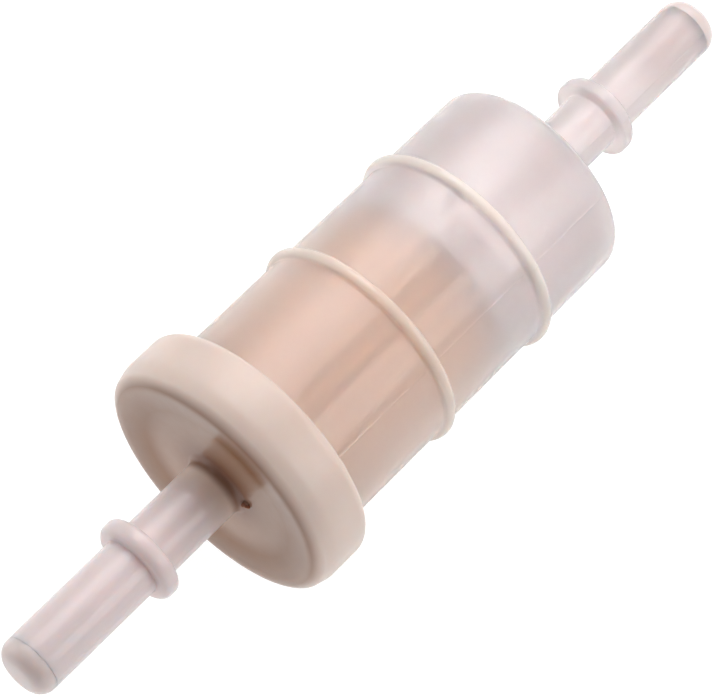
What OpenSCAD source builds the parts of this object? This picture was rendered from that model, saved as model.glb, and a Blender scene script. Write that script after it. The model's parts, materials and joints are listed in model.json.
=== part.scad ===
// Inline fuel filter with a plug-in element, pushed-on fuel line spigots and transit plugs.
// The flow axis is X: fuel enters at -X and leaves at +X. The origin is on that axis,
// halfway between the two tips. All sizes are in millimetres.

/* [Spigots] */
// Outside diameter of both fuel line spigots
spigot_d = 7.9; // [7:0.1:9]
// Diameter of the fuel passage inside a spigot
spigot_bore_d = 5.5; // [4.6:0.1:5.8]
// Outside diameter of the retaining bead on each spigot
bead_d = 11.3; // [10:0.1:12.5]
// Width of the bead on the outlet side
outlet_bead_w = 2.5; // [1.6:0.1:3.2]
// Width of the bead on the inlet side
inlet_bead_w = 2.3; // [1.6:0.1:3.2]
// Length from the outer face of a bead to the tip of its plug
tip_l = 19; // [15:0.5:24]
// Length of plain tube between a bead and the housing
root_l = 11.6; // [8:0.2:16]

/* [Canister] */
// Outside diameter of the canister beside the end cap
canister_d = 28.7; // [27.6:0.1:29.4]
// Length of the canister outside the end cap
canister_l = 51.1; // [46:0.1:60]
// Outside diameter of the two ridges
ridge_d = 30.3; // [29.6:0.1:31.5]
// Width of a ridge
ridge_w = 1.7; // [1.2:0.1:2.4]
// Distance from the end cap to the middle of the first ridge
ridge_offset = 17.8; // [16:0.1:19]
// Distance between the middles of the two ridges
ridge_pitch = 18.2; // [17:0.1:20]
// Wall thickness of the canister
wall = 1.5; // [1.3:0.1:1.6]

/* [End cap] */
// Outside diameter of the end cap
cap_d = 34.8; // [33.6:0.1:37]
// Width of the end cap
cap_w = 8.7; // [8:0.1:11]
// Depth of the dished outer face at the spigot
dish_depth = 0.8; // [0.2:0.1:1.2]
// Rounding of the outer edge of the end cap
cap_front_r = 2.4; // [1:0.1:3]
// Rounding of the edge of the end cap that faces the canister
cap_back_r = 1.5; // [0.6:0.1:2.2]

/* [Element] */
// Number of paper pleats
pleats = 28; // [20:1:32]
// Thickness of the paper
paper_t = 0.3; // [0.2:0.05:0.4]
// Outside diameter over the pleats
pleat_d = 23; // [21:0.2:23]
// Diameter inside the pleats
pleat_bore_d = 11.4; // [11:0.2:13]
// Rows of holes along the core tube
core_rows = 6; // [3:1:7]

/* [Transit plugs] */
// Thickness of a plug's head
plug_head_l = 2.4; // [2.3:0.1:3]
// Length of a plug's shank inside the spigot
plug_shank_l = 8; // [5:0.5:12]
// Gap between a shank's sealing rib and the spigot's bore
plug_clearance = 0.04; // [0.02:0.01:0.08]
// Rounding of the edge of a plug's head
plug_edge_r = 2.1; // [0.5:0.1:2.1]

/* [Hidden] */
$fn = 96;

// Places along the flow axis.
total_l = 2 * (tip_l + root_l) + inlet_bead_w + outlet_bead_w + canister_l + cap_w;
inlet_tip_x = -total_l / 2;
inlet_bead_x = inlet_tip_x + tip_l;
inlet_end_x = inlet_bead_x + inlet_bead_w + root_l;
cap_back_x = inlet_end_x + canister_l;
cap_front_x = cap_back_x + cap_w;
outlet_bead_x = cap_front_x + root_l;
outlet_tip_x = total_l / 2;
ridge_1_x = cap_back_x - ridge_offset;
ridge_2_x = ridge_1_x - ridge_pitch;

// Radii of the housing. The canister narrows a little from one ridge to the next.
spigot_r = spigot_d / 2;
bore_r = spigot_bore_d / 2;
bead_r = bead_d / 2;
canister_r = canister_d / 2;
middle_r = canister_r - 0.1;
chamber_r = canister_r - 0.2;
canister_bore_r = chamber_r - wall + 0.1;
shoulder_r = 1.75;
cap_r = cap_d / 2;

// The joint between the canister's mouth and the end cap.
mouth_x = cap_back_x + 5.2;
skirt_gap = 0.05;
bead_groove_x = cap_back_x + 2.4;
bead_groove_w = 1.9;
bead_groove_r = canister_r + 0.8;
cap_wall_x = cap_front_x - 3;

// The socket in the end cap and the grommet in it.
socket_r = 4.5;
socket_wall = 1.6;
socket_l = 3.6;
socket_floor_x = cap_front_x - dish_depth - 1.2;
grommet_lip_r = 5.6;
grommet_lip_w = 0.8;
neck_r = 3.1;
neck_bore_r = 2.2;

// The element, from the open disc in the cap to the closed disc under the second ridge.
disc_r = 12.3;
disc_t = 1.2;
disc_skirt_t = 0.7;
glue_t = 0.8;
open_disc_x = cap_back_x + 1.2;
open_skirt_l = 2.6;
closed_disc_x = ridge_2_x + 2;
closed_skirt_l = 4.7;
paper_x0 = closed_disc_x + disc_t + glue_t;
paper_x1 = open_disc_x - disc_t - glue_t;
core_r = 5.3;
core_wall = 0.7;
core_hole_d = 2.4;
core_holes_round = 6;
stop_lugs = 6;
stop_lug_w = 1.2;
stop_lug_l = 2.6;
fit_gap = 0.05;

// Turns a drawing of radius against distance into a solid about the flow axis.
module turned() {
    rotate([0, 90, 0]) rotate_extrude() children();
}

// A rectangle in radius and distance, given by its inner and outer radius and its two ends.
module band(r0, r1, x0, x1) {
    translate([r0, x0]) square([r1 - r0, x1 - x0]);
}

// What a rounding of radius f takes off the corner at radius r and distance x.
module outside_corner(r, x, f) {
    difference() {
        band(r - f, r + 1, x - 1, x + f);
        translate([r - f, x + f]) circle(f);
    }
}

// A band whose outer corners are rounded, each by its own radius.
module soft_band(r0, r1, x0, x1, f0, f1) {
    difference() {
        band(r0, r1, x0, x1);
        outside_corner(r1, x0, f0);
        mirror([0, 1]) outside_corner(r1, -x1, f1);
    }
}

// A fuel line spigot drawn from the housing outwards, with its bead and a chamfered end.
module spigot_profile(root_x, bead_x, bead_w, tip_x, bead_f0, bead_f1) {
    chamfer = 0.15;
    polygon([
        [bore_r, root_x],
        [spigot_r, root_x],
        [spigot_r, tip_x - chamfer],
        [spigot_r - chamfer, tip_x],
        [bore_r, tip_x]
    ]);
    soft_band(bore_r, bead_r, bead_x, bead_x + bead_w, bead_f0, bead_f1);
}

// A concave fillet between a tube of radius r and a wall at x, on the outlet side of the wall.
module root_fillet(r, x, f) {
    difference() {
        band(r - 0.2, r + f, x - 0.2, x + f);
        translate([r + f, x + f]) circle(f);
    }
}

// A ridge with a half-round crest standing on the canister's wall.
module ridge_profile(x) {
    crest = ridge_w / 2;
    band(canister_bore_r, ridge_d / 2 - crest, x - crest, x + crest);
    translate([ridge_d / 2 - crest, x]) circle(crest);
}

module canister() {
    floor_x = inlet_end_x + wall;
    color("#e6dcd4") {
        turned() {
            difference() {
                union() {
                    difference() {
                        band(0, chamber_r, inlet_end_x, ridge_2_x);
                        outside_corner(chamber_r, inlet_end_x, shoulder_r);
                    }
                    band(canister_bore_r - 1, middle_r, ridge_2_x - 0.1, ridge_1_x);
                    band(canister_bore_r - 1, canister_r, ridge_1_x - 0.1, mouth_x);
                    ridge_profile(ridge_1_x);
                    ridge_profile(ridge_2_x);
                }
                band(-1, canister_bore_r, floor_x, mouth_x + 1);
                band(-1, bore_r, inlet_end_x - 1, floor_x + 1);
            }
            mirror([0, 1]) root_fillet(spigot_r, -inlet_end_x, 0.6);
            mirror([0, 1]) spigot_profile(
                -inlet_end_x - 0.5, -inlet_bead_x - inlet_bead_w, inlet_bead_w,
                -inlet_tip_x - plug_head_l - fit_gap, 0.3, 1.2
            );
        }
        for (i = [0:stop_lugs - 1])
            rotate([i * 360 / stop_lugs, 0, 0])
                translate([ridge_2_x - 0.7, -stop_lug_w / 2, disc_r - 1])
                    cube([stop_lug_l - fit_gap, stop_lug_w, canister_bore_r - disc_r + 1.3]);
    }
}

module end_cap() {
    crest_r = cap_r - cap_front_r;
    color("#ddd0c2")
        turned() {
            difference() {
                soft_band(0, cap_r, cap_back_x, cap_front_x, cap_back_r, cap_front_r);
                // Dished outer face.
                polygon([
                    [-1, cap_front_x - dish_depth],
                    [spigot_r + 1, cap_front_x - dish_depth],
                    [crest_r, cap_front_x],
                    [crest_r, cap_front_x + 1],
                    [-1, cap_front_x + 1]
                ]);
                // Room for the canister's mouth and for the bead of melted plastic.
                band(-1, canister_r + skirt_gap, cap_back_x - 1, cap_wall_x);
                band(canister_r - 1, bead_groove_r, bead_groove_x, bead_groove_x + bead_groove_w);
                band(-1, socket_r, cap_back_x, socket_floor_x);
                band(-1, bore_r, cap_back_x, cap_front_x + 1);
            }
            band(socket_r, socket_r + socket_wall, cap_wall_x - socket_l, cap_wall_x + 0.5);
            root_fillet(spigot_r, cap_front_x - dish_depth, 0.9);
            spigot_profile(
                cap_front_x - dish_depth - 0.5, outlet_bead_x, outlet_bead_w,
                outlet_tip_x - plug_head_l - fit_gap, 0.7, 1
            );
        }
}

module weld_bead() {
    color("#e9dfd3")
        turned()
            band(
                canister_r + fit_gap, bead_groove_r - fit_gap,
                bead_groove_x + fit_gap, bead_groove_x + bead_groove_w - fit_gap
            );
}

module outlet_grommet() {
    lip_x = cap_wall_x - socket_l;
    color("#4a2f20")
        turned() {
            band(neck_r, socket_r - 0.02, lip_x - 0.1, socket_floor_x - fit_gap);
            soft_band(neck_r, grommet_lip_r, lip_x - grommet_lip_w, lip_x - 0.02, 0.3, 0.3);
        }
}

// A moulded disc with a skirt round the paper; the skirt points to +X when side is 1.
module disc_profile(x, side, bore, skirt_l) {
    mirror([0, side > 0 ? 0 : 1]) {
        band(bore, disc_r, side * x, side * x + disc_t);
        band(disc_r - disc_skirt_t, disc_r, side * x, side * x + skirt_l);
    }
}

module open_end_disc() {
    neck_end_x = socket_floor_x - 0.6;
    color("#f1eee8")
        turned() {
            disc_profile(open_disc_x, -1, neck_bore_r, open_skirt_l);
            band(neck_bore_r, neck_r - 0.02, open_disc_x - 0.1, neck_end_x);
        }
}

module closed_end_disc() {
    color("#f1eee8")
        turned()
            disc_profile(closed_disc_x, 1, 0, closed_skirt_l);
}

// A ring of set adhesive that holds the paper and the core tube in a disc.
module glue_ring(x, inner_r) {
    color("#c9a264")
        turned()
            band(inner_r, disc_r - disc_skirt_t - 0.02, x, x + glue_t);
}

module open_end_adhesive() {
    glue_ring(paper_x1, core_r - core_wall);
}

module closed_end_adhesive() {
    glue_ring(paper_x0 - glue_t, 0.5);
}

// A point at radius r, turned by the given angle and then moved sideways by s.
function spoke(r, angle, s) = [r * cos(angle) - s * sin(angle), r * sin(angle) + s * cos(angle)];

// One closed zigzag: a crest of half width crest_w at crest_r, a valley at valley_r.
function zigzag(crest_r, crest_w, valley_r, valley_w) = [
    for (i = [0:pleats - 1])
        let (a = i * 360 / pleats, b = a + 180 / pleats)
        each [
            spoke(crest_r, a, -crest_w),
            spoke(crest_r, a, crest_w),
            spoke(valley_r, b, -valley_w),
            spoke(valley_r, b, valley_w)
        ]
];

// Half widths of the folds, on the outer and on the inner face of the paper.
crest_out = 0.62;
valley_out = 0.1;
crest_in = crest_out - paper_t;
valley_in = valley_out + paper_t;

module pleated_paper() {
    color("#cfa67f")
        translate([paper_x0, 0, 0])
            rotate([0, 90, 0])
                linear_extrude(paper_x1 - paper_x0)
                    difference() {
                        polygon(zigzag(
                            pleat_d / 2, crest_out, pleat_bore_d / 2 + paper_t, valley_out
                        ));
                        polygon(zigzag(
                            pleat_d / 2 - paper_t, crest_in, pleat_bore_d / 2, valley_in
                        ));
                    }
}

// The bead of adhesive down one valley that closes the pleated sheet into a ring.
module paper_seam() {
    b = 180 / pleats;
    inner_r = pleat_bore_d / 2 + paper_t + 1;
    outer_r = pleat_d / 2 - 0.4;
    inner_w = 0.12;
    outer_w = 0.5;
    color("#dcc07c")
        translate([paper_x0, 0, 0])
            rotate([0, 90, 0])
                linear_extrude(paper_x1 - paper_x0)
                    polygon([
                        spoke(inner_r, b, -inner_w),
                        spoke(outer_r, b, -outer_w),
                        spoke(outer_r, b, outer_w),
                        spoke(inner_r, b, inner_w)
                    ]);
}

module core_tube() {
    row_pitch = (paper_x1 - paper_x0) / core_rows;
    color("#eae6de")
        difference() {
            turned()
                band(core_r - core_wall, core_r, paper_x0, paper_x1);
            for (row = [0:core_rows - 1], turn = [0:core_holes_round / 2 - 1])
                translate([paper_x0 + (row + 0.5) * row_pitch, 0, 0])
                    rotate([(turn + (row % 2) / 2) * 360 / core_holes_round, 0, 0])
                        cylinder(d = core_hole_d, h = 3 * core_r, center = true, $fn = 32);
        }
}

// A transit plug drawn pointing to +X: a rounded head level with the spigot, a ribbed shank.
module plug_profile() {
    head_x = outlet_tip_x - plug_head_l;
    rib_r = bore_r - plug_clearance;
    shank_r = rib_r - 0.05;
    soft_band(0, spigot_r - 0.05, head_x, outlet_tip_x, 0.1, plug_edge_r);
    band(0, shank_r, head_x - plug_shank_l, head_x + 0.1);
    for (i = [1:3])
        band(0, rib_r, head_x - i * plug_shank_l / 4 - 0.4, head_x - i * plug_shank_l / 4 + 0.4);
}

module outlet_plug() {
    color("#dccdc8") turned() plug_profile();
}

module inlet_plug() {
    color("#e9dedd") mirror([1, 0, 0]) turned() plug_profile();
}

canister();
end_cap();
weld_bead();
outlet_grommet();
open_end_disc();
open_end_adhesive();
pleated_paper();
paper_seam();
core_tube();
closed_end_adhesive();
closed_end_disc();
inlet_plug();
outlet_plug();
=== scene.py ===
import json
import math

import bmesh
import bpy
from mathutils import Matrix, Vector, noise


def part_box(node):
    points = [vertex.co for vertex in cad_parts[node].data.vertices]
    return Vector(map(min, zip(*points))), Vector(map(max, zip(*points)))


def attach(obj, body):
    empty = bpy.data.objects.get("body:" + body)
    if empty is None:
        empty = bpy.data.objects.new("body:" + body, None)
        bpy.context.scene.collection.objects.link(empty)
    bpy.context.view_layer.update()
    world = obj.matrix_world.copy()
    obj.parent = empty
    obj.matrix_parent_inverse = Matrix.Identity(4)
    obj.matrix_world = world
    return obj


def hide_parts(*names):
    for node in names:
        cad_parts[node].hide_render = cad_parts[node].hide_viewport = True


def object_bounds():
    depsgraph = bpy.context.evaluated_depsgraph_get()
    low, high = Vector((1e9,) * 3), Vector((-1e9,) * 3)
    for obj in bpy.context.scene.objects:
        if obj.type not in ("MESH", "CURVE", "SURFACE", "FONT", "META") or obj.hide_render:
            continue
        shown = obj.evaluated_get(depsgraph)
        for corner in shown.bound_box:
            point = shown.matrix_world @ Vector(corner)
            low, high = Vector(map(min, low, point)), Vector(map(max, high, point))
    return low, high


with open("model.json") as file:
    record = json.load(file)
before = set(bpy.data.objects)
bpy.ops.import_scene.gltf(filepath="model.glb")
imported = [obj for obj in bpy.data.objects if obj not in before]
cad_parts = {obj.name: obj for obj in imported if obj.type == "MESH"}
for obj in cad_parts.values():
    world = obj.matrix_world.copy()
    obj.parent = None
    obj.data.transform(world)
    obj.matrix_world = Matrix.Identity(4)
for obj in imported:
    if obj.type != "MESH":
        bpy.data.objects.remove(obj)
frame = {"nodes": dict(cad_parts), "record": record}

# An inline fuel filter lying level: fuel enters at -X and leaves at +X. Metres, in the CAD frame.
MM = 0.001
CAD_BOX = [list(corner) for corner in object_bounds()]
SCENE = bpy.context.scene


# ---------------------------------------------------------------- sizes read from the frame

def rings(node):
    """Every corner of a CAD node as (distance along the flow axis, radius)."""
    return [(v.co.x, math.hypot(v.co.y, v.co.z)) for v in frame["nodes"][node].data.vertices]


def span(points, r_min=0.0, r_max=1.0, x_min=-1.0, x_max=1.0):
    """Lowest and highest x, and largest radius, of the corners inside these limits."""
    kept = [p for p in points if r_min <= p[1] <= r_max and x_min <= p[0] <= x_max]
    xs = [p[0] for p in kept]
    return min(xs), max(xs), max(p[1] for p in kept)


MOUNTS = {m["name"]: m for m in frame["record"]["mounts"]}
SPIGOT_R = MOUNTS["outlet_spigot"]["dims"]["r_mm"] * MM
CHAMBER_R = MOUNTS["canister_seat"]["dims"]["r_mm"] * MM
MIDDLE_R = CHAMBER_R + 0.1 * MM
CANISTER_R = CHAMBER_R + 0.2 * MM

CANISTER = rings("canister")
END_CAP = rings("end_cap")
BORE_R = min(r for x, r in CANISTER)
INLET_TIP, MOUTH_X, _ = span(CANISTER)
INLET_END = span(CANISTER, r_min=2 * SPIGOT_R)[0]
CANISTER_FLOOR = span(CANISTER, r_max=BORE_R + 0.05 * MM)[1]
BETWEEN_RIDGES = (span(CANISTER, r_min=CANISTER_R + 0.4 * MM)[0]
                  + span(CANISTER, r_min=CANISTER_R + 0.4 * MM)[1]) / 2
RIDGE_2 = span(CANISTER, r_min=CANISTER_R + 0.05 * MM, x_max=BETWEEN_RIDGES)
RIDGE_1 = span(CANISTER, r_min=CANISTER_R + 0.05 * MM, x_min=BETWEEN_RIDGES)
CANISTER_BORE_R = CHAMBER_R - 1.4 * MM
INLET_BEAD = span(CANISTER, r_min=SPIGOT_R + 0.9 * MM, x_max=INLET_END - 2 * MM)

CAP_X0, CAP_X1, CAP_R = span(END_CAP, r_min=CANISTER_R)
# Where the cap's dished face meets its gripping band.
RIM_R = 16 * MM
OUTLET_TIP = span(END_CAP)[1]
OUTLET_BEAD = span(END_CAP, r_min=SPIGOT_R + 0.95 * MM, x_min=CAP_X1 + 3 * MM)

ELEMENT_END = span(rings("closed_end_disc"))[1]

# The parting planes of the two moulds, as angles from straight up towards +Y.
CANISTER_PARTING = math.radians(55)
CAP_PARTING = math.radians(80)


# ---------------------------------------------------------------- mesh helpers

def arc_points(centre, start, end, radius, steps):
    """Points from one angle to another round a centre, in (x, r)."""
    turn = (end - start + math.pi) % (2 * math.pi) - math.pi
    return [
        (centre[0] + radius * math.cos(start + turn * i / steps),
         centre[1] + radius * math.sin(start + turn * i / steps))
        for i in range(steps + 1)
    ]


def rounded(corners, steps=8):
    """An outline from corners given as (x, r, rounding), each in metres."""
    outline = []
    count = len(corners)
    for i, (x, r, rounding) in enumerate(corners):
        here = Vector((x, r))
        back = Vector(corners[i - 1][:2]) - here
        ahead = Vector(corners[(i + 1) % count][:2]) - here
        if rounding <= 0:
            outline.append((x, r))
            continue
        half = back.angle(ahead) / 2
        reach = rounding / math.tan(half)
        centre = here + (back.normalized() + ahead.normalized()).normalized() * rounding / math.sin(half)
        first = here + back.normalized() * reach - centre
        last = here + ahead.normalized() * reach - centre
        outline += arc_points(
            centre, math.atan2(first.y, first.x), math.atan2(last.y, last.x), rounding, steps
        )
    return without_repeats(outline)


def without_repeats(outline):
    """Drops points that lie on the one before them."""
    kept = [outline[0]]
    for point in outline[1:]:
        if math.dist(point, kept[-1]) > 0.001 * MM:
            kept.append(point)
    return kept


# Extra angles on both sides of a parting line, in degrees, so that its fine ridge has a shape.
SEAM_OFFSETS = (-0.9, -0.6, -0.45, -0.3, -0.15, 0, 0.15, 0.3, 0.45, 0.6, 0.9)


def turn_angles(steps, fine=()):
    """Angles round the axis, with extra ones close to each angle in fine."""
    angles = {round(2 * math.pi * i / steps, 6) for i in range(steps)}
    for middle in fine:
        for off in SEAM_OFFSETS:
            angles.add(round((middle + math.radians(off)) % (2 * math.pi), 6))
    return sorted(angles)


def finish_mesh(name, bm, body, material, replaces=(), sharp=35):
    """Turns a bmesh into a smooth-shaded piece that rides on a body."""
    bmesh.ops.recalc_face_normals(bm, faces=bm.faces)
    for face in bm.faces:
        face.smooth = True
    for edge in bm.edges:
        edge.smooth = edge.calc_face_angle(0) < math.radians(sharp)
    mesh = bpy.data.meshes.new(name)
    bm.to_mesh(mesh)
    bm.free()
    piece = bpy.data.objects.new(name, mesh)
    SCENE.collection.objects.link(piece)
    mesh.materials.append(material)
    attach(piece, body)
    if replaces:
        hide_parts(*replaces)
    return piece


def mould_angles(plane):
    return turn_angles(192, fine=(plane, plane + math.pi))


def no_relief(x, r, angle):
    return 0.0


def lathe_mesh(outline, relief=no_relief, angles=None, closed=True):
    """Turns an outline of (x, r) about the flow axis. relief adds to the radius."""
    angles = angles or turn_angles(160)
    bm = bmesh.new()
    rows = []
    for x, r in outline:
        if r < 1e-6:
            rows.append([bm.verts.new((x, 0, 0))])
            continue
        row = []
        for angle in angles:
            radius = r + relief(x, r, angle)
            row.append(bm.verts.new((x, radius * math.sin(angle), radius * math.cos(angle))))
        rows.append(row)
    pairs = list(zip(rows, rows[1:]))
    if closed:
        pairs.append((rows[-1], rows[0]))
    count = len(angles)
    for a, b in pairs:
        for i in range(count):
            j = (i + 1) % count
            if len(a) == 1 and len(b) == 1:
                continue
            if len(a) == 1:
                bm.faces.new((a[0], b[i], b[j]))
            elif len(b) == 1:
                bm.faces.new((a[i], a[j], b[0]))
            else:
                bm.faces.new((a[i], a[j], b[j], b[i]))
    return bm


def resample(outline, step):
    """Adds points along the long straight stretches of a closed outline."""
    dense = []
    for a, b in zip(outline, outline[1:] + outline[:1]):
        parts = max(1, round(math.dist(a, b) / step))
        dense += [
            (a[0] + (b[0] - a[0]) * i / parts, a[1] + (b[1] - a[1]) * i / parts)
            for i in range(parts)
        ]
    return dense


def parting_line(plane, height, width=0.16 * MM):
    """Relief of the two fine ridges that a two-part mould leaves along a turned piece."""
    def relief(x, r, angle):
        total = 0.0
        for middle in (plane, plane + math.pi):
            off = abs((angle - middle + math.pi) % (2 * math.pi) - math.pi) * r
            total += height * max(0.0, 1 - off / width)
        return total
    return relief


# ---------------------------------------------------------------- materials

def set_inputs(shader, **values):
    for name, value in values.items():
        shader.inputs[name.replace("_", " ")].default_value = value


def new_material(name, viewport):
    """A material with its shader and an object coordinate node."""
    material = bpy.data.materials.new(name)
    material.use_nodes = True
    material.diffuse_color = (*viewport, 1)
    tree = material.node_tree
    shader = tree.nodes["Principled BSDF"]
    place = tree.nodes.new("ShaderNodeTexCoord")
    return material, tree, shader, place


def noise_node(tree, place, feature, detail=3.0, stretch=(1, 1, 1)):
    """Noise whose features are about this size in metres."""
    mapping = tree.nodes.new("ShaderNodeMapping")
    mapping.inputs["Scale"].default_value = stretch
    texture = tree.nodes.new("ShaderNodeTexNoise")
    texture.inputs["Scale"].default_value = 1 / feature
    texture.inputs["Detail"].default_value = detail
    tree.links.new(place.outputs["Object"], mapping.inputs["Vector"])
    tree.links.new(mapping.outputs["Vector"], texture.inputs["Vector"])
    return texture


def ramp_node(tree, source, stops):
    """A colour ramp of (position, colour) stops driven by a noise node."""
    ramp = tree.nodes.new("ShaderNodeValToRGB")
    while len(ramp.color_ramp.elements) < len(stops):
        ramp.color_ramp.elements.new(0.5)
    for element, (position, colour) in zip(ramp.color_ramp.elements, stops):
        element.position = position
        element.color = (*colour, 1)
    tree.links.new(source.outputs["Fac"], ramp.inputs["Fac"])
    return ramp


def add_bump(tree, shader, source, distance, strength=1.0):
    bump = tree.nodes.new("ShaderNodeBump")
    bump.inputs["Strength"].default_value = strength
    bump.inputs["Distance"].default_value = distance
    tree.links.new(source.outputs["Fac"], bump.inputs["Height"])
    tree.links.new(bump.outputs["Normal"], shader.inputs["Normal"])


def vary_roughness(tree, shader, source, low, high):
    tree.links.new(spread_node(tree, source.outputs["Fac"], low, high), shader.inputs["Roughness"])


def radius_node(tree, place):
    """Distance from the flow axis."""
    mapping = tree.nodes.new("ShaderNodeMapping")
    mapping.inputs["Scale"].default_value = (0, 1, 1)
    length = tree.nodes.new("ShaderNodeVectorMath")
    length.operation = "LENGTH"
    tree.links.new(place.outputs["Object"], mapping.inputs["Vector"])
    tree.links.new(mapping.outputs["Vector"], length.inputs[0])
    return length.outputs["Value"]


def along_node(tree, place):
    """Distance along the flow axis."""
    split = tree.nodes.new("ShaderNodeSeparateXYZ")
    tree.links.new(place.outputs["Object"], split.inputs["Vector"])
    return split.outputs["X"]


def fade_node(tree, source, start, end):
    """0 at start, 1 at end, with soft shoulders."""
    fade = tree.nodes.new("ShaderNodeMapRange")
    fade.interpolation_type = "SMOOTHSTEP"
    fade.inputs["From Min"].default_value = start
    fade.inputs["From Max"].default_value = end
    tree.links.new(source, fade.inputs["Value"])
    return fade.outputs["Result"]


def spread_node(tree, source, low, high):
    """low where the source is 0, high where it is 1."""
    spread = tree.nodes.new("ShaderNodeMapRange")
    spread.inputs["To Min"].default_value = low
    spread.inputs["To Max"].default_value = high
    tree.links.new(source, spread.inputs["Value"])
    return spread.outputs["Result"]


def larger_node(tree, a, b):
    node = tree.nodes.new("ShaderNodeMath")
    node.operation = "MAXIMUM"
    tree.links.new(a, node.inputs[0])
    tree.links.new(b, node.inputs[1])
    return node.outputs["Value"]


def mix_node(tree, factor, a, b):
    """The fixed colour a where the factor is 0, the colour from socket b where it is 1."""
    node = tree.nodes.new("ShaderNodeMix")
    node.data_type = "RGBA"
    node.inputs["A"].default_value = (*a, 1)
    tree.links.new(b, node.inputs["B"])
    tree.links.new(factor, node.inputs["Factor"])
    return node.outputs["Result"]


def nylon(name, light, dark, clear, blur=0.5, gloss=0.5, polish=0.17, shine=0.5, tint_and_glow=None):
    """Natural translucent nylon: milky, faintly mottled, with a fine moulded skin.

    clear is how much light goes through and gloss how strongly the skin shines, each a number or
    a function. blur and polish are the roughness of the inside and of the skin.
    """
    material, tree, shader, place = new_material(name, light)
    cloud = noise_node(tree, place, 5 * MM, detail=2)
    colour = ramp_node(tree, cloud, [(0.3, dark), (0.7, light)]).outputs["Color"]
    # A recolouring hook: on the canister it lays a painted glow of light from the paper, on the cap it
    # paints the face brown.
    if tint_and_glow:
        colour = tint_and_glow(tree, place, colour)
    tree.links.new(colour, shader.inputs["Base Color"])
    for socket, amount in (("Transmission Weight", clear), ("Coat Weight", gloss)):
        if callable(amount):
            tree.links.new(amount(tree, place), shader.inputs[socket])
        else:
            shader.inputs[socket].default_value = amount
    set_inputs(
        shader,
        IOR=1.45,
        Subsurface_Weight=1.0,
        Subsurface_Radius=(1.0, 0.75, 0.6),
        Subsurface_Scale=1.2 * MM,
        Specular_IOR_Level=shine,
        Coat_Roughness=polish,
    )
    flow = noise_node(tree, place, 1.6 * MM, detail=2, stretch=(0.3, 1, 1))
    vary_roughness(tree, shader, flow, blur - 0.05, blur + 0.08)
    skin = noise_node(tree, place, 0.35 * MM, detail=2)
    add_bump(tree, shader, skin, 0.012 * MM, 0.6)
    return material


SPIGOT_WHITE = (0.90, 0.79, 0.79)
# The cap's dished face and the spigot's root are painted these dark browns.
FACE_BROWN = (0.29, 0.13, 0.055)
ROOT_BROWN = (0.30, 0.14, 0.085)


def dish_and_spigot_colour(tree, place, colour):
    """Paints the cap's face and the spigot's root brown, and the spigot a colder white."""
    along = along_node(tree, place)
    radius = radius_node(tree, place)
    cap = fade_node(tree, along, CAP_X1 + 5 * MM, CAP_X1 + 1 * MM)
    spigot = mix_node(tree, cap, SPIGOT_WHITE, colour)
    past = fade_node(tree, along, CAP_X1 - 0.7 * MM, CAP_X1 + 1.2 * MM)
    behind = fade_node(tree, along, CAP_X1 - 0.5 * MM, CAP_X1 - 1.6 * MM)
    band = fade_node(tree, radius, RIM_R - 0.8 * MM, RIM_R + 0.9 * MM)
    rim = larger_node(tree, band, larger_node(tree, past, behind))
    face = mix_node(tree, rim, FACE_BROWN, spigot)
    root = larger_node(tree, fade_node(tree, radius, 3.5 * MM, 8 * MM), past)
    return mix_node(tree, root, ROOT_BROWN, face)


# Painted light: the warm glow of light from the paper element, laid on the canister wall over it.
PAINTED_PAPER_GLOW = (0.95, 0.85, 0.80)
RIDGE_CREAM = (0.95, 0.86, 0.79)


def canister_glow_and_cream(tree, place, colour):
    """Paints the wall warmer over the paper element, a painted glow of light from the paper, and the solid
    ridges creamier.
    """
    chamber = fade_node(tree, along_node(tree, place), ELEMENT_END + 8 * MM, ELEMENT_END - 1 * MM)
    with_painted_glow = mix_node(tree, chamber, PAINTED_PAPER_GLOW, colour)
    wall = fade_node(tree, radius_node(tree, place), CANISTER_R + 0.6 * MM, CANISTER_R + 0.1 * MM)
    return mix_node(tree, wall, RIDGE_CREAM, with_painted_glow)


def canister_clearness(tree, place):
    """The thin wall lets more light through than the solid ridges."""
    solid = fade_node(tree, radius_node(tree, place), CANISTER_R + 0.1 * MM, CANISTER_R + 0.6 * MM)
    return spread_node(tree, solid, 0.82, 0.6)


def cap_clearness(tree, place):
    """The brown middle of the cap lets less light through than its flange and its spigot."""
    out = fade_node(tree, radius_node(tree, place), 8 * MM, 15 * MM)
    past = fade_node(tree, along_node(tree, place), CAP_X1 + 0.5 * MM, CAP_X1 + 4 * MM)
    return spread_node(tree, larger_node(tree, out, past), 0.15, 0.4)


def cap_gloss(tree, place):
    """The cap's face and spigot are polished, its gripping band is nearly matt."""
    band = fade_node(tree, radius_node(tree, place), RIM_R - 0.8 * MM, RIM_R + 0.4 * MM)
    return spread_node(tree, band, 0.42, 0.12)


def plain_plastic(name, light, dark, rough):
    material, tree, shader, place = new_material(name, light)
    cloud = noise_node(tree, place, 3 * MM)
    colour = ramp_node(tree, cloud, [(0.3, dark), (0.7, light)])
    tree.links.new(colour.outputs["Color"], shader.inputs["Base Color"])
    set_inputs(shader, Subsurface_Weight=0.2, Subsurface_Scale=0.6 * MM)
    vary_roughness(tree, shader, cloud, rough - 0.05, rough + 0.08)
    add_bump(tree, shader, noise_node(tree, place, 0.3 * MM), 0.015 * MM, 0.5)
    return material


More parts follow.
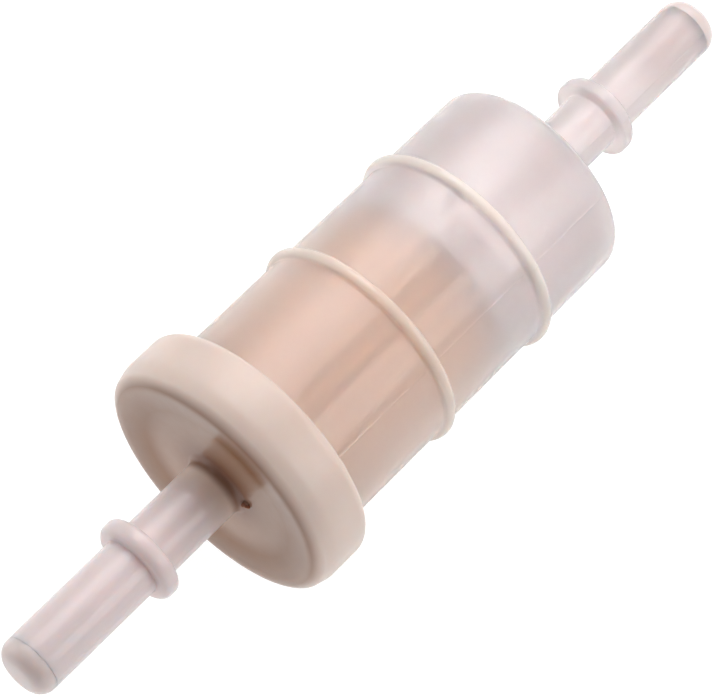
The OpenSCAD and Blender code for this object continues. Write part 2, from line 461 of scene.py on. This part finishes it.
def filter_paper():
    """Resin-treated paper: matted fibres, longer along the pleats, with a slight sheen."""
    material, tree, shader, place = new_material("filter_paper", (0.62, 0.38, 0.22))
    fibres = noise_node(tree, place, 0.25 * MM, detail=6, stretch=(0.5, 1, 1))
    colour = ramp_node(
        tree, fibres,
        [(0.25, (0.86, 0.52, 0.28)), (0.55, (0.90, 0.58, 0.33)), (0.8, (0.94, 0.64, 0.39))],
    )
    tree.links.new(colour.outputs["Color"], shader.inputs["Base Color"])
    set_inputs(shader, Roughness=0.9, Sheen_Weight=0.2)
    add_bump(tree, shader, fibres, 0.05 * MM, 0.8)
    return material


def rubber():
    material, tree, shader, place = new_material("grommet_rubber", (0.16, 0.085, 0.045))
    grain = noise_node(tree, place, 0.3 * MM, detail=4)
    colour = ramp_node(tree, grain, [(0.3, (0.12, 0.055, 0.022)), (0.7, (0.19, 0.095, 0.045))])
    tree.links.new(colour.outputs["Color"], shader.inputs["Base Color"])
    vary_roughness(tree, shader, grain, 0.5, 0.7)
    add_bump(tree, shader, grain, 0.02 * MM, 0.5)
    return material


def adhesive():
    material, tree, shader, place = new_material("set_adhesive", (0.62, 0.42, 0.2))
    cloud = noise_node(tree, place, 1.5 * MM, detail=3)
    colour = ramp_node(tree, cloud, [(0.3, (0.45, 0.27, 0.11)), (0.7, (0.66, 0.46, 0.23))])
    tree.links.new(colour.outputs["Color"], shader.inputs["Base Color"])
    set_inputs(shader, Subsurface_Weight=0.5, Subsurface_Scale=0.8 * MM)
    vary_roughness(tree, shader, cloud, 0.2, 0.4)
    add_bump(tree, shader, cloud, 0.05 * MM, 0.5)
    return material


# The canister's colour carries a painted glow of light from the paper element under it.
CANISTER_NYLON = nylon(
    "canister_nylon", (0.91, 0.86, 0.86), (0.89, 0.83, 0.83), canister_clearness, blur=0.7,
    tint_and_glow=canister_glow_and_cream,
)
CAP_NYLON = nylon(
    "cap_nylon", (0.90, 0.77, 0.70), (0.87, 0.73, 0.66), cap_clearness, blur=0.4, gloss=cap_gloss,
    polish=0.1, shine=0.3, tint_and_glow=dish_and_spigot_colour,
)
WELD_NYLON = nylon("weld_nylon", (0.90, 0.84, 0.78), (0.87, 0.80, 0.73), 0.4)
PLUG_PLASTIC = nylon("plug_plastic", (0.84, 0.73, 0.71), (0.80, 0.69, 0.67), 0.3)
DISC_PLASTIC = plain_plastic("disc_plastic", (0.76, 0.73, 0.71), (0.71, 0.68, 0.66), 0.5)
CORE_PLASTIC = plain_plastic("core_plastic", (0.80, 0.77, 0.71), (0.74, 0.70, 0.64), 0.5)
PAPER = filter_paper()
RUBBER = rubber()
ADHESIVE = adhesive()


# ---------------------------------------------------------------- canister

WALL_STEP = 2.0 * MM
TIGHT_FILLET = 0.12 * MM
WIDE_FILLET = 0.4 * MM


def ridge_outline(ridge, r_before, r_after):
    """A half-round ridge from -X to +X, with a tight corner behind it and a wide blend in front."""
    x0, x1, top = ridge
    crest = (x1 - x0) / 2
    middle = ((x0 + x1) / 2, top - crest)
    points = []
    for side, wall_r, fillet in ((-1, r_before, TIGHT_FILLET), (1, r_after, WIDE_FILLET)):
        rise = middle[1] - wall_r - fillet
        reach = math.sqrt((crest + fillet) ** 2 - rise ** 2)
        foot = (middle[0] + side * reach, wall_r + fillet)
        lean = math.atan2(middle[1] - foot[1], middle[0] - foot[0])
        blend = arc_points(foot, -math.pi / 2, lean, fillet, 5)
        points.append((blend, lean + math.pi))
    rise, fall = points
    over = arc_points(middle, rise[1], fall[1], crest, 16)
    return rise[0] + over + fall[0][::-1]


STOP_LUGS = 6
LUG_W = 1.2 * MM
LUG_X0, LUG_X1, LUG_R = span(
    CANISTER, r_min=BORE_R + 3 * MM, r_max=CANISTER_BORE_R - 0.5 * MM, x_min=CANISTER_FLOOR + 2 * MM
)


def stop_lug(bm, angle):
    """A small block inside the canister that stops the filter element."""
    outer = CANISTER_BORE_R + 0.05 * MM
    size = (LUG_X1 - LUG_X0, LUG_W, outer - LUG_R)
    middle = Vector(((LUG_X0 + LUG_X1) / 2, 0, (outer + LUG_R) / 2))
    turn = Matrix.Rotation(-angle, 4, "X")
    place = turn @ Matrix.Translation(middle) @ Matrix.Diagonal((*size, 1))
    block = bmesh.ops.create_cube(bm, size=1, matrix=place)
    edges = {edge for vert in block["verts"] for edge in vert.link_edges}
    bmesh.ops.bevel(bm, geom=list(edges), offset=0.15 * MM, segments=3, profile=0.5, affect="EDGES")


def canister():
    bead_x0, bead_x1, bead_r = INLET_BEAD
    shell = rounded([
        (INLET_TIP, BORE_R, 0.05 * MM),
        (INLET_TIP, SPIGOT_R, 0.01 * MM),
        (bead_x0, SPIGOT_R, 0.12 * MM),
        (bead_x0, bead_r, 1.2 * MM),
        (bead_x1, bead_r, 0.3 * MM),
        (bead_x1, SPIGOT_R, 0.2 * MM),
        (INLET_END, SPIGOT_R, 0.6 * MM),
        (INLET_END, CHAMBER_R, 1.75 * MM),
        (BETWEEN_RIDGES, CHAMBER_R, 0),
        (MOUTH_X, CANISTER_R, 0.2 * MM),
        (MOUTH_X, CANISTER_BORE_R, 0.2 * MM),
        (CANISTER_FLOOR, CANISTER_BORE_R, 1.0 * MM),
        (CANISTER_FLOOR, BORE_R, 0.3 * MM),
    ])
    split = shell.index((BETWEEN_RIDGES, CHAMBER_R))
    outline = resample(
        shell[:split]
        + ridge_outline(RIDGE_2, CHAMBER_R, MIDDLE_R)
        + ridge_outline(RIDGE_1, MIDDLE_R, CANISTER_R)
        + shell[split + 1:],
        WALL_STEP,
    )
    seam = parting_line(CANISTER_PARTING, 0.05 * MM)

    def relief(x, r, angle):
        inside = CANISTER_BORE_R - 0.3 * MM < r < CHAMBER_R - 0.4 * MM
        outside = r > SPIGOT_R - 0.1 * MM and not inside
        return seam(x, r, angle) if outside and x < CAP_X0 - 0.5 * MM else 0.0

    bm = lathe_mesh(outline, relief, mould_angles(CANISTER_PARTING))
    for i in range(STOP_LUGS):
        stop_lug(bm, 2 * math.pi * i / STOP_LUGS)
    finish_mesh("canister_shell", bm, "filter", CANISTER_NYLON, ["canister"])


# ---------------------------------------------------------------- end cap

DISH_DEPTH = 0.8 * MM
DISH_R = CAP_R - 7.5 * MM
DISH_SWEEP = 20 * MM
CREST_R = CAP_R - 1.6 * MM
CREST_ROUND = 2.6 * MM
ROOT_FILLET = 0.9 * MM
CAP_WALL_X = CAP_X1 - 3 * MM
SOCKET_R = 4.5 * MM
SOCKET_WALL = 1.6 * MM
SOCKET_L = 3.6 * MM
SOCKET_FLOOR = CAP_X1 - DISH_DEPTH - 1.2 * MM
GROOVE_X0 = CAP_X0 + 2.4 * MM
GROOVE_X1 = GROOVE_X0 + 1.9 * MM
GROOVE_R = CANISTER_R + 0.8 * MM


GATE_ANGLE = math.radians(83)


def gate_mark(bm, dish_x):
    """The small torn stub left beside the spigot's root where the mould was fed."""
    place = Matrix.Rotation(-GATE_ANGLE, 4, "X") @ Matrix.Translation((dish_x, 0, SPIGOT_R + 0.9 * MM))
    stub = bmesh.ops.create_icosphere(bm, subdivisions=4, radius=0.55 * MM, matrix=place)
    for vert in stub["verts"]:
        vert.co += (vert.co - place.translation) * 0.6 * noise.noise(vert.co * 2500)


def end_cap():
    bead_x0, bead_x1, bead_r = OUTLET_BEAD
    dish_x = CAP_X1 - DISH_DEPTH
    skirt_r = CANISTER_R + 0.05 * MM
    corners = [
        (OUTLET_TIP, BORE_R, 0.05 * MM),
        (OUTLET_TIP, SPIGOT_R, 0.01 * MM),
        (bead_x1, SPIGOT_R, 0.12 * MM),
        (bead_x1, bead_r, 1.0 * MM),
        (bead_x0, bead_r, 0.7 * MM),
        (bead_x0, SPIGOT_R, 0.2 * MM),
        (dish_x, SPIGOT_R, ROOT_FILLET),
        (dish_x, DISH_R, DISH_SWEEP),
        (CAP_X1, CREST_R, CREST_ROUND),
        (CAP_X1 - 0.95 * MM, CAP_R - 0.5 * MM, 0.8 * MM),
        (CAP_X1 - 2.8 * MM, CAP_R, 3.0 * MM),
        (CAP_X0, CAP_R, 1.5 * MM),
        (CAP_X0, skirt_r, 0.2 * MM),
        (GROOVE_X0, skirt_r, 0),
        (GROOVE_X0, GROOVE_R, 0.1 * MM),
        (GROOVE_X1, GROOVE_R, 0.1 * MM),
        (GROOVE_X1, skirt_r, 0),
        (CAP_WALL_X, skirt_r, 0.5 * MM),
        (CAP_WALL_X, SOCKET_R + SOCKET_WALL, 0.4 * MM),
        (CAP_WALL_X - SOCKET_L, SOCKET_R + SOCKET_WALL, 0.2 * MM),
        (CAP_WALL_X - SOCKET_L, SOCKET_R, 0.2 * MM),
        (SOCKET_FLOOR, SOCKET_R, 0.1 * MM),
        (SOCKET_FLOOR, BORE_R, 0.1 * MM),
    ]
    outline = resample(rounded(corners), WALL_STEP)
    seam = parting_line(CAP_PARTING, 0.03 * MM)

    def relief(x, r, angle):
        outside = x > CAP_X1 + 0.5 * MM and r > SPIGOT_R - 0.1 * MM
        return seam(x, r, angle) if outside else 0.0

    bm = lathe_mesh(outline, relief, mould_angles(CAP_PARTING))
    gate_mark(bm, dish_x)
    finish_mesh("end_cap_shell", bm, "filter", CAP_NYLON, ["end_cap"])


def weld_bead():
    """The ring of plastic squeezed out by the spin weld, uneven as it set."""
    lo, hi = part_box("weld_bead")
    inner = CANISTER_R + 0.05 * MM
    corners = [
        (lo[0], inner, 0.1 * MM),
        (lo[0], hi[2], 0.35 * MM),
        (hi[0], hi[2], 0.35 * MM),
        (hi[0], inner, 0.1 * MM),
    ]

    def relief(x, r, angle):
        if r < inner + 0.1 * MM:
            return 0.0
        place = Vector((x * 400, math.sin(angle) * 6, math.cos(angle) * 6))
        return -0.12 * MM * abs(noise.noise(place))

    bm = lathe_mesh(rounded(corners), relief)
    finish_mesh("weld_bead_ring", bm, "filter", WELD_NYLON, ["weld_bead"])


# ---------------------------------------------------------------- element

def outlet_grommet():
    lip_x, end_x, _ = span(rings("outlet_grommet"))
    lip_r = span(rings("outlet_grommet"))[2]
    neck_r = min(r for x, r in rings("outlet_grommet"))
    body_r = SOCKET_R - 0.02 * MM
    corners = [
        (end_x, neck_r, 0.2 * MM),
        (end_x, body_r, 0.3 * MM),
        (CAP_WALL_X - SOCKET_L, body_r, 0.1 * MM),
        (CAP_WALL_X - SOCKET_L - 0.02 * MM, lip_r, 0.3 * MM),
        (lip_x, lip_r, 0.3 * MM),
        (lip_x, neck_r, 0.2 * MM),
    ]
    bm = lathe_mesh(rounded(corners), angles=turn_angles(96))
    finish_mesh("outlet_grommet_ring", bm, "filter", RUBBER, ["outlet_grommet"])


DISC_T = 1.2 * MM
SKIRT_T = 0.7 * MM


def open_end_disc():
    x0, x1, disc_r = span(rings("open_end_disc"))
    plate_x1 = span(rings("open_end_disc"), r_min=disc_r - 0.1 * MM)[1]
    bore_r = min(r for x, r in rings("open_end_disc"))
    neck_r = span(rings("open_end_disc"), x_min=x1 - 0.1 * MM)[2]
    corners = [
        (plate_x1 - DISC_T, bore_r, 0.1 * MM),
        (plate_x1 - DISC_T, disc_r - SKIRT_T, 0.2 * MM),
        (x0, disc_r - SKIRT_T, 0.15 * MM),
        (x0, disc_r, 0.15 * MM),
        (plate_x1, disc_r, 0.4 * MM),
        (plate_x1, neck_r, 0.3 * MM),
        (x1, neck_r, 0.25 * MM),
        (x1, bore_r, 0.1 * MM),
    ]
    bm = lathe_mesh(rounded(corners), angles=turn_angles(128))
    finish_mesh("open_end_disc_moulding", bm, "filter", DISC_PLASTIC, ["open_end_disc"])


def closed_end_disc():
    x0, x1, disc_r = span(rings("closed_end_disc"))
    corners = [
        (x0, 0, 0),
        (x0, disc_r, 0.5 * MM),
        (x1, disc_r, 0.15 * MM),
        (x1, disc_r - SKIRT_T, 0.15 * MM),
        (x0 + DISC_T, disc_r - SKIRT_T, 0.2 * MM),
        (x0 + DISC_T, 0, 0),
    ]
    bm = lathe_mesh(rounded(corners), angles=turn_angles(128), closed=False)
    finish_mesh("closed_end_disc_moulding", bm, "filter", DISC_PLASTIC, ["closed_end_disc"])


def glue_ring(node, name):
    """Set adhesive in an end disc, with a wavy surface where it wicked up the pleats."""
    lo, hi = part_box(node)
    inner = min(r for x, r in rings(node))
    corners = [
        (lo[0], inner, 0.1 * MM),
        (lo[0], hi[2], 0.15 * MM),
        (hi[0], hi[2], 0.15 * MM),
        (hi[0], inner, 0.1 * MM),
    ]

    def relief(x, r, angle):
        place = Vector((x * 500, math.sin(angle) * 9, math.cos(angle) * 9))
        return -0.08 * MM * abs(noise.noise(place))

    bm = lathe_mesh(resample(rounded(corners), 0.6 * MM), relief, turn_angles(128))
    finish_mesh(name, bm, "filter", ADHESIVE, [node])


PLEATS = 28
PAPER_T = 0.3 * MM
CREST_W = 0.47 * MM
VALLEY_W = 0.25 * MM
FOLD_STEPS = 5
FLANK_PARTS = 6


def fold_points(r, half_width, middle, outward):
    """A half round fold, seen along the axis. outward is 1 at a crest and -1 at a valley."""
    points = []
    for i in range(FOLD_STEPS + 1):
        a = math.pi * (i / FOLD_STEPS - 0.5)
        drop = outward * half_width * (1 - math.cos(a))
        points.append((r - drop, middle + half_width * math.sin(a) / r))
    return points


def flank_points(start, end):
    """Points strictly between two (radius, angle) points."""
    return [
        (start[0] + (end[0] - start[0]) * i / FLANK_PARTS, start[1] + (end[1] - start[1]) * i / FLANK_PARTS)
        for i in range(1, FLANK_PARTS)
    ]


def pleat_path(crest_r, valley_r):
    """The middle of the pleated sheet as (radius, angle) points, once round the axis."""
    points = []
    for k in range(PLEATS):
        crest = 2 * math.pi * k / PLEATS
        valley = crest + math.pi / PLEATS
        next_crest = crest + 2 * math.pi / PLEATS
        down = (crest_r - CREST_W, crest + CREST_W / crest_r)
        valley_in = (valley_r + VALLEY_W, valley - VALLEY_W / valley_r)
        valley_out = (valley_r + VALLEY_W, valley + VALLEY_W / valley_r)
        up = (crest_r - CREST_W, next_crest - CREST_W / crest_r)
        points += fold_points(crest_r, CREST_W, crest, 1)
        points += flank_points(down, valley_in)
        points += fold_points(valley_r, VALLEY_W, valley, -1)
        points += flank_points(valley_out, up)
    return points


def pleated_paper():
    lo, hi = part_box("pleated_paper")
    radii = [r for x, r in rings("pleated_paper")]
    path = pleat_path(max(radii) - PAPER_T / 2, min(radii) + PAPER_T / 2)
    rows = 26
    bm = bmesh.new()
    grid = []
    for row in range(rows + 1):
        x = lo[0] + (hi[0] - lo[0]) * row / rows
        free = math.sqrt(max(0.0, math.sin(math.pi * row / rows)))
        middle = []
        for r, angle in path:
            place = Vector((x * 90, math.sin(angle) * 5, math.cos(angle) * 5))
            lean = 0.035 * free * noise.noise(place) * (r / max(radii)) ** 2
            middle.append(Vector((r * math.sin(angle + lean), r * math.cos(angle + lean))))
        outer, inner = [], []
        for i, here in enumerate(middle):
            along = middle[(i + 1) % len(middle)] - middle[i - 1]
            side = Vector((-along.y, along.x)).normalized() * PAPER_T / 2
            outer.append(bm.verts.new((x, *(here + side))))
            inner.append(bm.verts.new((x, *(here - side))))
        grid.append((outer, inner))
    count = len(path)
    for (outer_a, inner_a), (outer_b, inner_b) in zip(grid, grid[1:]):
        for i in range(count):
            j = (i + 1) % count
            bm.faces.new((outer_a[i], outer_a[j], outer_b[j], outer_b[i]))
            bm.faces.new((inner_a[j], inner_a[i], inner_b[i], inner_b[j]))
    for outer, inner in (grid[0], grid[-1]):
        for i in range(count):
            j = (i + 1) % count
            bm.faces.new((outer[i], outer[j], inner[j], inner[i]))
    finish_mesh("pleated_paper_sheet", bm, "filter", PAPER, ["pleated_paper"], sharp=50)


def carried_over():
    """CAD nodes that keep their own shape, deep inside the element."""
    for node, material in (("core_tube", CORE_PLASTIC), ("paper_seam", ADHESIVE)):
        mesh = frame["nodes"][node].data
        mesh.materials.clear()
        mesh.materials.append(material)


# ---------------------------------------------------------------- transit plugs

# The plug's head nearly touches the spigot and is nearly as wide, so their joint is a hairline.
HEAD_REACH = 0.045 * MM
HEAD_R = SPIGOT_R - 0.01 * MM
HEAD_ROUND = 2.1 * MM
RIB_FOOT = 0.4 * MM
RIB_TOP = 0.25 * MM


def transit_plug(node, side, name):
    """A plug with a rounded head level with the spigot and three sealing ribs on its shank."""
    points = [(side * x, r) for x, r in rings(node)]
    x0, x1, head_r = span(points)
    head_x = span(points, r_min=head_r - 0.3 * MM)[0] - HEAD_REACH
    rib_r = span(points, x_max=head_x - 0.1 * MM)[2]
    shank_r = rib_r - 0.05 * MM
    pitch = (head_x - x0) / 4
    corners = [(x0, 0, 0), (x0, shank_r, 0.5 * MM)]
    for i in (3, 2, 1):
        middle = head_x - i * pitch
        corners += [
            (middle - RIB_FOOT, shank_r, 0),
            (middle - RIB_TOP, rib_r, 0.1 * MM),
            (middle + RIB_TOP, rib_r, 0.1 * MM),
            (middle + RIB_FOOT, shank_r, 0),
        ]
    corners += [
        (head_x, shank_r, 0.1 * MM),
        (head_x, HEAD_R, 0.01 * MM),
        (x1, HEAD_R, HEAD_ROUND),
        (x1, 0, 0),
    ]
    outline = [(side * x, r) for x, r in rounded(corners, steps=12)]
    bm = lathe_mesh(outline, angles=turn_angles(128), closed=False)
    finish_mesh(name, bm, node, PLUG_PLASTIC, [node])


# ---------------------------------------------------------------- floor, lights and camera

def floor():
    z = CAD_BOX[0][2]
    mesh = bpy.data.meshes.new("floor")
    size = 3.0
    mesh.from_pydata(
        [(-size, -size, z), (size, -size, z), (size, size, z), (-size, size, z)], [], [(0, 1, 2, 3)]
    )
    material, tree, shader, place = new_material("floor_white", (0.9, 0.9, 0.9))
    set_inputs(
        shader,
        Base_Color=(0.2, 0.2, 0.2, 1),
        Roughness=0.8,
        Emission_Color=(1, 1, 1, 1),
        Emission_Strength=0.92,
    )
    mesh.materials.append(material)
    piece = bpy.data.objects.new("floor", mesh)
    SCENE.collection.objects.link(piece)


def direction(azimuth, elevation):
    """Unit vector towards an azimuth, from -Y towards +X, and an elevation, in degrees."""
    a, e = math.radians(azimuth), math.radians(elevation)
    return Vector((math.sin(a) * math.cos(e), -math.cos(a) * math.cos(e), math.sin(e)))


def soft_light(name, azimuth, elevation, distance, size, brightness, colour=(1, 1, 1)):
    """An area light aimed at the filter. brightness is how bright each patch is, whatever the size."""
    back = direction(azimuth, elevation)
    data = bpy.data.lights.new(name, "AREA")
    data.shape = "RECTANGLE"
    data.size, data.size_y = size
    data.energy = brightness * math.pi * size[0] * size[1]
    data.color = colour
    light = bpy.data.objects.new(name, data)
    light.location = back * distance
    light.rotation_euler = (-back).to_track_quat("-Z", "Y").to_euler()
    SCENE.collection.objects.link(light)
    return light


def room():
    """A dim room, lighter towards -Y, the side of the main light."""
    world = bpy.data.worlds.new("studio")
    world.use_nodes = True
    tree = world.node_tree
    background = tree.nodes["Background"]
    place = tree.nodes.new("ShaderNodeTexCoord")
    split = tree.nodes.new("ShaderNodeSeparateXYZ")
    fade = tree.nodes.new("ShaderNodeMapRange")
    fade.inputs["From Min"].default_value = -0.6
    fade.inputs["From Max"].default_value = 0.6
    fade.inputs["To Min"].default_value = 0.47
    fade.inputs["To Max"].default_value = 0.22
    tree.links.new(place.outputs["Generated"], split.inputs["Vector"])
    tree.links.new(split.outputs["Y"], fade.inputs["Value"])
    tree.links.new(fade.outputs["Result"], background.inputs["Strength"])
    background.inputs["Color"].default_value = (1, 0.98, 0.97, 1)
    SCENE.world = world


KEY_AZIMUTH = -54
KEY_ELEVATION = 60.7
PINKISH = (1, 0.96, 0.98)


def lights():
    room()
    soft_light("key", KEY_AZIMUTH, KEY_ELEVATION, 0.30, (0.28, 0.28), 2.7)
    soft_light("key_core", KEY_AZIMUTH, KEY_ELEVATION, 0.28, (0.14, 0.14), 2.6, PINKISH)
    soft_light("fill", 40, 15, 0.35, (0.2, 0.2), 1.4)
    soft_light("side", -153.6, 27.4, 0.30, (0.23, 0.17), 3.2)


VIEW_AZIMUTH = 131.2
VIEW_ELEVATION = 58.3
VIEW_DISTANCE = 0.4078
VIEW_CENTRE_X = 3.7 * MM
LENS = 168.4


def camera():
    back = direction(VIEW_AZIMUTH, VIEW_ELEVATION)
    data = bpy.data.cameras.new("camera")
    data.lens = LENS
    data.sensor_width = 36
    data.clip_start, data.clip_end = 0.01, 20
    eye = bpy.data.objects.new("camera", data)
    eye.location = Vector((VIEW_CENTRE_X, 0, 0)) + back * VIEW_DISTANCE
    eye.rotation_euler = (-back).to_track_quat("-Z", "Y").to_euler()
    SCENE.collection.objects.link(eye)
    SCENE.camera = eye
    SCENE.view_settings.view_transform = "Standard"


camera()
canister()
end_cap()
weld_bead()
outlet_grommet()
open_end_disc()
closed_end_disc()
glue_ring("open_end_adhesive", "open_end_adhesive_ring")
glue_ring("closed_end_adhesive", "closed_end_adhesive_ring")
pleated_paper()
carried_over()
transit_plug("outlet_plug", 1, "outlet_plug_moulding")
transit_plug("inlet_plug", -1, "inlet_plug_moulding")
floor()
lights()
